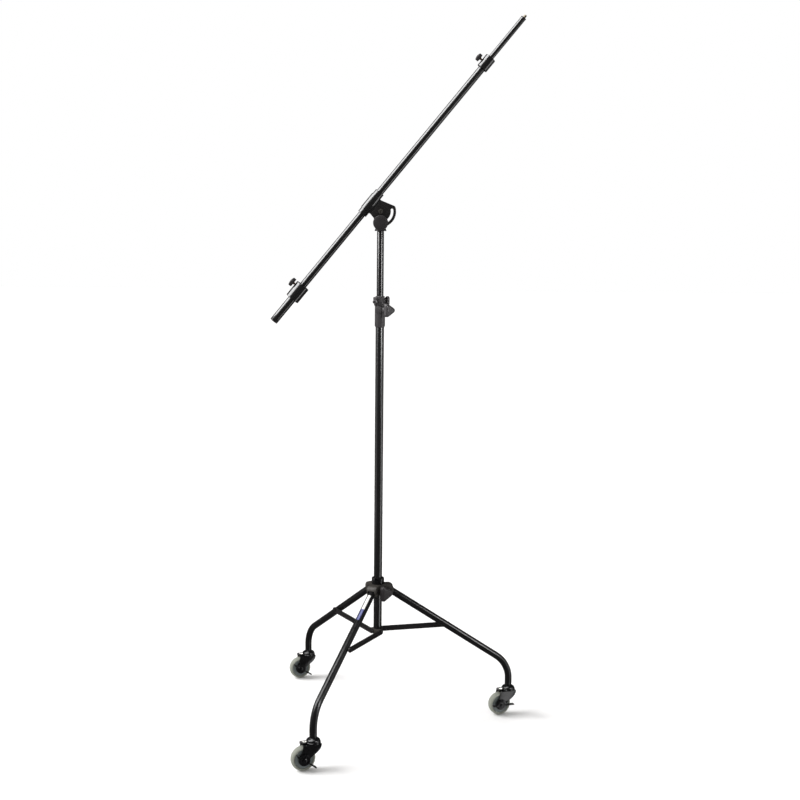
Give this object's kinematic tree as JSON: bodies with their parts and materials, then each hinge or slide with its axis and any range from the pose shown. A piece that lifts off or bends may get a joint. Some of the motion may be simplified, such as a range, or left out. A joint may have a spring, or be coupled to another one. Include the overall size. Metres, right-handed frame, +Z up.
{
  "type": "boom microphone stand",
  "caption": "Rolling studio boom stand: a folding leg base on braked casters, a telescopic mast, and a tilting telescopic boom with a threaded tip stud.",
  "frame": {"origin": "on the floor, under the mast's axis", "axes": "+Z up along the mast; the boom lies in the XZ plane and rises towards +X; -Y is the front"},
  "size_m": [0.8151, 0.8336, 2.2712],
  "materials": {
    "black_tube": "gloss black powder coat",
    "black_casting": "satin black",
    "black_plastic": "moulded, satin",
    "black_gloss": "gloss moulded",
    "zinc_steel": "zinc plated",
    "stud_brass": "pale, turned",
    "grey_tyre": "grey-green non-marking tread",
    "grey_core": "moulded grey",
    "natural_bush": "moulded, satin"
  },
  "bodies": {
    "lower_mast": {"lower_mast_tube": "black_tube", "mast_foot_bracket": "black_casting", "mast_foot_cap": "black_plastic", "brace_foot_pins": "black_casting", "height_clamp_body": "black_plastic", "height_clamp_bush": "natural_bush"},
    "height_knob": {"height_clamp_knob": "black_plastic"},
    "leg_collar": {"leg_collar": "black_casting", "collar_crown": "black_casting", "leg_pivot_pins": "black_casting"},
    "lock_knob": {"leg_lock_knob": "black_plastic"},
    "leg_right": {"leg_tube_right": "black_tube", "caster_stem_right": "zinc_steel"},
    "brace_right": {"brace_bar_right": "black_casting"},
    "caster_right": {"caster_fork_right": "black_gloss", "caster_dome_right": "black_gloss", "caster_hardware_right": "zinc_steel"},
    "wheel_right": {"tyre_right": "grey_tyre", "wheel_core_right": "grey_core"},
    "brake_right": {"brake_lever_right": "black_gloss"},
    "leg_back": {"leg_tube_back": "black_tube", "caster_stem_back": "zinc_steel"},
    "brace_back": {"brace_bar_back": "black_casting"},
    "caster_back": {"caster_fork_back": "black_gloss", "caster_dome_back": "black_gloss", "caster_hardware_back": "zinc_steel"},
    "wheel_back": {"tyre_back": "grey_tyre", "wheel_core_back": "grey_core"},
    "brake_back": {"brake_lever_back": "black_gloss"},
    "leg_front": {"leg_tube_front": "black_tube", "caster_stem_front": "zinc_steel"},
    "brace_front": {"brace_bar_front": "black_casting"},
    "caster_front": {"caster_fork_front": "black_gloss", "caster_dome_front": "black_gloss", "caster_hardware_front": "zinc_steel"},
    "wheel_front": {"tyre_front": "grey_tyre", "wheel_core_front": "grey_core"},
    "brake_front": {"brake_lever_front": "black_gloss"},
    "upper_mast": {"upper_mast_tube": "black_tube", "upper_mast_plug": "natural_bush"},
    "stop_collar": {"stop_collar": "black_plastic", "stop_collar_nut": "black_plastic"},
    "stop_knob": {"stop_collar_knob": "black_plastic"},
    "head": {"tilt_head_block": "black_casting", "head_skirt": "black_plastic", "tilt_bolts": "black_casting"},
    "tilt_knob": {"tilt_knob": "black_plastic"},
    "boom_cradle": {"boom_cheeks": "black_casting", "boom_strap": "black_casting", "boom_bush": "natural_bush"},
    "boom": {"boom_tube": "black_tube", "boom_upper_collar": "black_tube"},
    "boom_tip": {"boom_tip_tube": "black_tube", "boom_tip_stud": "stud_brass"},
    "rear_stub": {"rear_stub": "black_tube", "rear_stub_cap": "black_plastic", "boom_lower_collar": "black_tube"},
    "tip_thumb_screw": {"thumb_screw_upper": "black_plastic"},
    "rear_thumb_screw": {"thumb_screw_lower": "black_plastic"}
  },
  "joints": [
    {"name": "leg_fold", "type": "slide", "parent": "lower_mast", "child": "leg_collar", "axis": [0, 0, 1], "range_m": [0, 0.27394]},
    {"name": "height_knob_turn", "type": "hinge", "parent": "lower_mast", "child": "height_knob", "pos_m": [0.02571, -0.03064, 1.355], "axis": [0.6428, -0.766, 0], "range_deg": [0, 360]},
    {"name": "lock_knob_turn", "type": "hinge", "parent": "leg_collar", "child": "lock_knob", "pos_m": [0.02263, -0.03299, 0.432], "axis": [0.5657, -0.8246, 0], "range_deg": [0, 360]},
    {"name": "leg_hinge_right", "type": "hinge", "parent": "leg_collar", "child": "leg_right", "pos_m": [0.0339, 0.00264, 0.43905], "axis": [-0.0776, 0.997, 0], "range_deg": [0, 34.1]},
    {"name": "brace_hinge_right", "type": "hinge", "parent": "lower_mast", "child": "brace_right", "pos_m": [0.00658, 0.01857, 0.296], "axis": [0.0776, -0.997, 0], "range_deg": [0, 55.89]},
    {"name": "caster_swivel_right", "type": "hinge", "parent": "leg_right", "child": "caster_right", "pos_m": [0.44027, 0.03426, 0.09], "axis": [0, 0, 1], "continuous": true},
    {"name": "wheel_spin_right", "type": "hinge", "parent": "caster_right", "child": "wheel_right", "pos_m": [0.41028, 0.02281, 0.0375], "axis": [0.3567, -0.9342, 0], "continuous": true},
    {"name": "brake_lever_right", "type": "hinge", "parent": "caster_right", "child": "brake_right", "pos_m": [0.41028, 0.02281, 0.0375], "axis": [0.3567, -0.9342, 0], "range_deg": [-35, 0]},
    {"name": "leg_hinge_back", "type": "hinge", "parent": "leg_collar", "child": "leg_back", "pos_m": [-0.01923, 0.02804, 0.43905], "axis": [-0.8246, -0.5657, 0], "range_deg": [0, 34.1]},
    {"name": "brace_hinge_back", "type": "hinge", "parent": "lower_mast", "child": "brace_back", "pos_m": [-0.01937, -0.00359, 0.296], "axis": [0.8246, 0.5657, 0], "range_deg": [0, 55.89]},
    {"name": "caster_swivel_back", "type": "hinge", "parent": "leg_back", "child": "caster_back", "pos_m": [-0.24981, 0.36415, 0.09], "axis": [0, 0, 1], "continuous": true},
    {"name": "wheel_spin_back", "type": "hinge", "parent": "caster_back", "child": "wheel_back", "pos_m": [-0.2798, 0.3527, 0.0375], "axis": [0.3567, -0.9342, 0], "continuous": true},
    {"name": "brake_lever_back", "type": "hinge", "parent": "caster_back", "child": "brake_back", "pos_m": [-0.2798, 0.3527, 0.0375], "axis": [0.3567, -0.9342, 0], "range_deg": [0, 33]},
    {"name": "leg_hinge_front", "type": "hinge", "parent": "leg_collar", "child": "leg_front", "pos_m": [-0.01466, -0.03068, 0.43905], "axis": [0.9022, -0.4313, 0], "range_deg": [0, 34.1]},
    {"name": "brace_hinge_front", "type": "hinge", "parent": "lower_mast", "child": "brace_front", "pos_m": [0.01279, -0.01498, 0.296], "axis": [-0.9022, 0.4313, 0], "range_deg": [0, 55.89]},
    {"name": "caster_swivel_front", "type": "hinge", "parent": "leg_front", "child": "caster_front", "pos_m": [-0.19046, -0.39842, 0.09], "axis": [0, 0, 1], "continuous": true},
    {"name": "wheel_spin_front", "type": "hinge", "parent": "caster_front", "child": "wheel_front", "pos_m": [-0.22045, -0.40987, 0.0375], "axis": [0.3567, -0.9342, 0], "continuous": true},
    {"name": "brake_lever_front", "type": "hinge", "parent": "caster_front", "child": "brake_front", "pos_m": [-0.22045, -0.40987, 0.0375], "axis": [0.3567, -0.9342, 0], "range_deg": [0, 36]},
    {"name": "height_slide", "type": "slide", "parent": "lower_mast", "child": "upper_mast", "axis": [0, 0, 1], "range_m": [0, 0.62]},
    {"name": "stop_collar_slide", "type": "slide", "parent": "upper_mast", "child": "stop_collar", "axis": [0, 0, 1], "range_m": [0, 0.17]},
    {"name": "stop_knob_turn", "type": "hinge", "parent": "stop_collar", "child": "stop_knob", "pos_m": [0.02649, 0.01408, 1.3829], "axis": [0.8829, 0.4695, 0], "range_deg": [0, 360]},
    {"name": "head_turn", "type": "hinge", "parent": "upper_mast", "child": "head", "pos_m": [0, 0, 1.6], "axis": [0, 0, 1], "continuous": true},
    {"name": "boom_tilt", "type": "hinge", "parent": "head", "child": "boom_cradle", "pos_m": [0, 0, 1.6648], "axis": [0, 1, 0], "range_deg": [-13, 97]},
    {"name": "tilt_knob_turn", "type": "hinge", "parent": "head", "child": "tilt_knob", "pos_m": [0, -0.02, 1.6288], "axis": [0, -1, 0], "range_deg": [0, 360]},
    {"name": "boom_slide", "type": "slide", "parent": "boom_cradle", "child": "boom", "axis": [0.6347, 0, 0.7727], "range_m": [-0.48, 0.28]},
    {"name": "tip_slide", "type": "slide", "parent": "boom", "child": "boom_tip", "axis": [0.6347, 0, 0.7727], "range_m": [-0.13, 0.2]},
    {"name": "rear_stub_slide", "type": "slide", "parent": "boom", "child": "rear_stub", "axis": [-0.6347, 0, -0.7727], "range_m": [0, 0.075]},
    {"name": "tip_thumb_screw_turn", "type": "hinge", "parent": "boom", "child": "tip_thumb_screw", "pos_m": [0.30782, 0, 2.13407], "axis": [-0.7727, 0, 0.6347], "range_deg": [0, 360]},
    {"name": "rear_thumb_screw_turn", "type": "hinge", "parent": "rear_stub", "child": "rear_thumb_screw", "pos_m": [-0.27238, 0, 1.4356], "axis": [-0.7727, 0, 0.6347], "range_deg": [0, 360]}
  ],
  "couplings": [
    {"joint": "leg_hinge_right", "follows": "leg_fold", "rad_per_m": 2.1662},
    {"joint": "brace_hinge_right", "follows": "leg_fold", "rad_per_m": 3.548},
    {"joint": "leg_hinge_back", "follows": "leg_fold", "rad_per_m": 2.1662},
    {"joint": "brace_hinge_back", "follows": "leg_fold", "rad_per_m": 3.548},
    {"joint": "leg_hinge_front", "follows": "leg_fold", "rad_per_m": 2.1662},
    {"joint": "brace_hinge_front", "follows": "leg_fold", "rad_per_m": 3.548}
  ]
}
